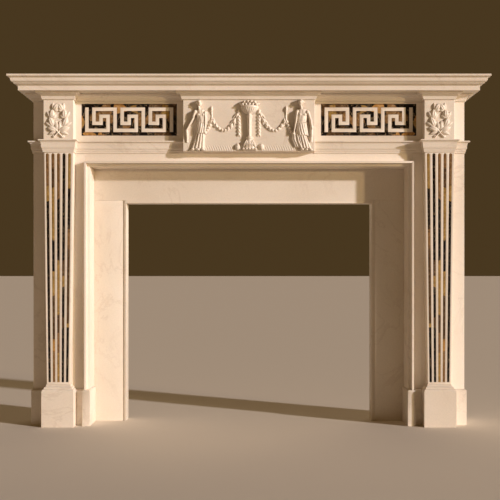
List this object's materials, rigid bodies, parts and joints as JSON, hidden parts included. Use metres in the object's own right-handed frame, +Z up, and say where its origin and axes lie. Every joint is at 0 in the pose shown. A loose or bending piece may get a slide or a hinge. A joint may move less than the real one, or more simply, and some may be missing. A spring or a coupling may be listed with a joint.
{
  "type": "fireplace mantel",
  "caption": "Neoclassical marble chimneypiece with inlaid key frieze and fluted pilasters, a carved figure tablet, wreath blocks, a moulded shelf and plain slips round the opening.",
  "frame": {"origin": "centre of the bounding box's bottom face, on the hearth", "axes": "+X along the width, to the right as seen from the room; +Y back towards the wall, the front faces -Y; +Z up"},
  "size_m": [1.83, 0.258, 1.345],
  "materials": {
    "white_marble": "honed white marble with faint warm veins, softly polished",
    "slip_marble": "honed white marble, plain",
    "inlay_marble": "polished black, gold and brown veined marble inlay"
  },
  "bodies": {
    "root": {"shelf": "white_marble", "bed_moulding": "white_marble", "lintel": "white_marble", "frieze_tablet": "white_marble", "wreath_block_left": "white_marble", "wreath_block_right": "white_marble", "cap_moulding_left": "white_marble", "cap_moulding_right": "white_marble", "pilaster_left": "white_marble", "pilaster_right": "white_marble", "plinth_left": "white_marble", "plinth_right": "white_marble", "jamb_base_left": "white_marble", "jamb_base_right": "white_marble", "jamb_slab_left": "white_marble", "jamb_slab_right": "white_marble", "side_return_left": "white_marble", "side_return_right": "white_marble", "opening_moulding_left": "white_marble", "opening_moulding_right": "white_marble", "opening_moulding_header": "white_marble", "slip_left": "slip_marble", "slip_right": "slip_marble", "slip_header": "slip_marble", "key_ground_left": "inlay_marble", "key_ground_right": "inlay_marble", "key_meander_left": "white_marble", "key_meander_right": "white_marble", "flute_inlay_left_1": "inlay_marble", "flute_inlay_left_2": "inlay_marble", "flute_inlay_left_3": "inlay_marble", "flute_inlay_left_4": "inlay_marble", "flute_inlay_left_5": "inlay_marble", "flute_inlay_right_1": "inlay_marble", "flute_inlay_right_2": "inlay_marble", "flute_inlay_right_3": "inlay_marble", "flute_inlay_right_4": "inlay_marble", "flute_inlay_right_5": "inlay_marble"}
  },
  "joints": []
}
